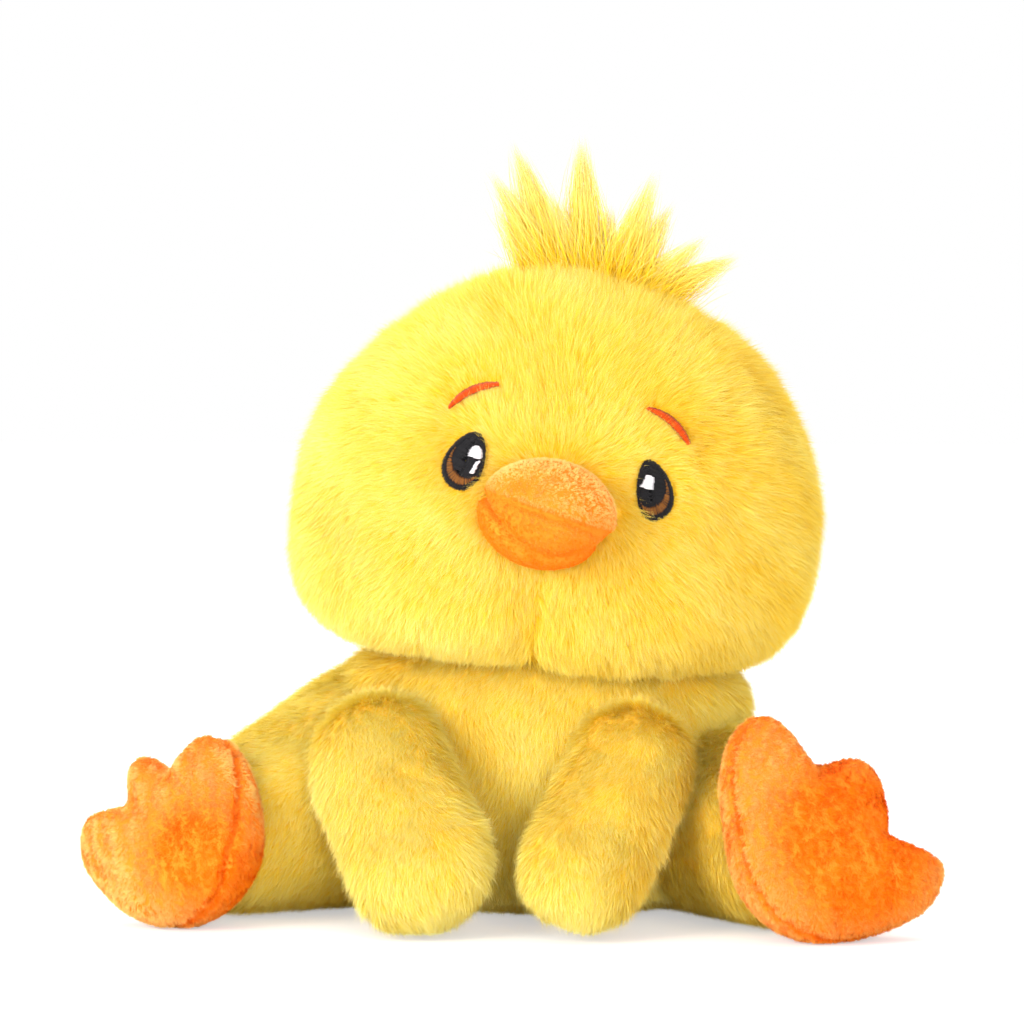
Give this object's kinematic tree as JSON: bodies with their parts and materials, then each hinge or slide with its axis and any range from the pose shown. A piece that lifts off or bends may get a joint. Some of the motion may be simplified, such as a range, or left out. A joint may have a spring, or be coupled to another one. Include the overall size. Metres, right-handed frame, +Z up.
{
  "type": "plush chick",
  "caption": "Seated plush chick with a round head, crest, embroidered eyes and brows, stuffed beak, wing arms and splayed legs ending in webbed feet.",
  "frame": {"origin": "middle of the flat seat, on the surface that the chick sits on", "axes": "+X towards the chick's left, -Y the way the chick faces, +Z up"},
  "size_m": [0.28, 0.1657, 0.2507],
  "materials": {
    "yellow_plush": "long-pile polyester plush, pale at the tips",
    "orange_short_pile": "short-pile polyester plush",
    "crest_pile": "extra-long pile, pale at the tips",
    "black_thread": "satin-stitch embroidery",
    "brown_thread": "satin-stitch embroidery",
    "white_thread": "satin-stitch embroidery",
    "red_orange_thread": "satin-stitch embroidery",
    "fibre_stuffing": "loose polyester fibre",
    "pellet_pouch": "woven cotton bag of plastic pellets"
  },
  "bodies": {
    "torso": {"torso_front_panel": "yellow_plush", "torso_back_right_panel": "yellow_plush", "torso_back_left_panel": "yellow_plush", "seat_panel": "yellow_plush", "torso_stuffing": "fibre_stuffing", "pellet_pouch": "pellet_pouch"},
    "head": {"head_face_right_panel": "yellow_plush", "head_face_left_panel": "yellow_plush", "head_back_right_panel": "yellow_plush", "head_back_left_panel": "yellow_plush", "head_stuffing": "fibre_stuffing", "head_crest": "crest_pile", "beak_upper_panel": "orange_short_pile", "beak_lower_panel": "orange_short_pile", "beak_stuffing": "fibre_stuffing", "right_eye_black": "black_thread", "right_eye_brown_arc": "brown_thread", "right_eye_glint": "white_thread", "right_eye_small_glint": "white_thread", "right_brow": "red_orange_thread", "left_eye_black": "black_thread", "left_eye_brown_arc": "brown_thread", "left_eye_glint": "white_thread", "left_brow": "red_orange_thread"},
    "right_arm": {"right_arm_front_panel": "yellow_plush", "right_arm_back_panel": "yellow_plush", "right_arm_stuffing": "fibre_stuffing"},
    "right_leg": {"right_leg_cover": "yellow_plush", "right_leg_stuffing": "fibre_stuffing"},
    "right_foot": {"right_foot_sole_panel": "orange_short_pile", "right_foot_top_panel": "orange_short_pile", "right_foot_stuffing": "fibre_stuffing"},
    "left_arm": {"left_arm_front_panel": "yellow_plush", "left_arm_back_panel": "yellow_plush", "left_arm_stuffing": "fibre_stuffing"},
    "left_leg": {"left_leg_cover": "yellow_plush", "left_leg_stuffing": "fibre_stuffing"},
    "left_foot": {"left_foot_sole_panel": "orange_short_pile", "left_foot_top_panel": "orange_short_pile", "left_foot_stuffing": "fibre_stuffing"}
  },
  "joints": [
    {"name": "head_turn", "type": "hinge", "parent": "torso", "child": "head", "pos_m": [0, -0.008, 0.08], "axis": [0.1381, 0.017, 0.9903], "range_deg": [-18, 18], "stiffness_Nm_per_rad": 0.2},
    {"name": "right_arm_lift", "type": "hinge", "parent": "torso", "child": "right_arm", "pos_m": [-0.0455, -0.039, 0.079], "axis": [-1, 0, 0], "range_deg": [0, 50], "stiffness_Nm_per_rad": 0.05},
    {"name": "left_arm_lift", "type": "hinge", "parent": "torso", "child": "left_arm", "pos_m": [0.0455, -0.039, 0.079], "axis": [-1, 0, 0], "range_deg": [0, 22], "stiffness_Nm_per_rad": 0.05},
    {"name": "right_leg_splay", "type": "hinge", "parent": "torso", "child": "right_leg", "pos_m": [-0.053, 0.002, 0.0425], "axis": [0, 0, -1], "range_deg": [0, 25], "stiffness_Nm_per_rad": 0.1},
    {"name": "left_leg_splay", "type": "hinge", "parent": "torso", "child": "left_leg", "pos_m": [0.049, 0.002, 0.0365], "axis": [0, 0, 1], "range_deg": [0, 25], "stiffness_Nm_per_rad": 0.1},
    {"name": "right_foot_tilt", "type": "hinge", "parent": "right_leg", "child": "right_foot", "pos_m": [-0.09618, -0.0397, 0.027], "axis": [0.6947, -0.7193, 0], "range_deg": [0, 25], "stiffness_Nm_per_rad": 0.05},
    {"name": "left_foot_tilt", "type": "hinge", "parent": "left_leg", "child": "left_foot", "pos_m": [0.08501, -0.04757, 0.027], "axis": [0.809, 0.5878, 0], "range_deg": [0, 25], "stiffness_Nm_per_rad": 0.05}
  ]
}
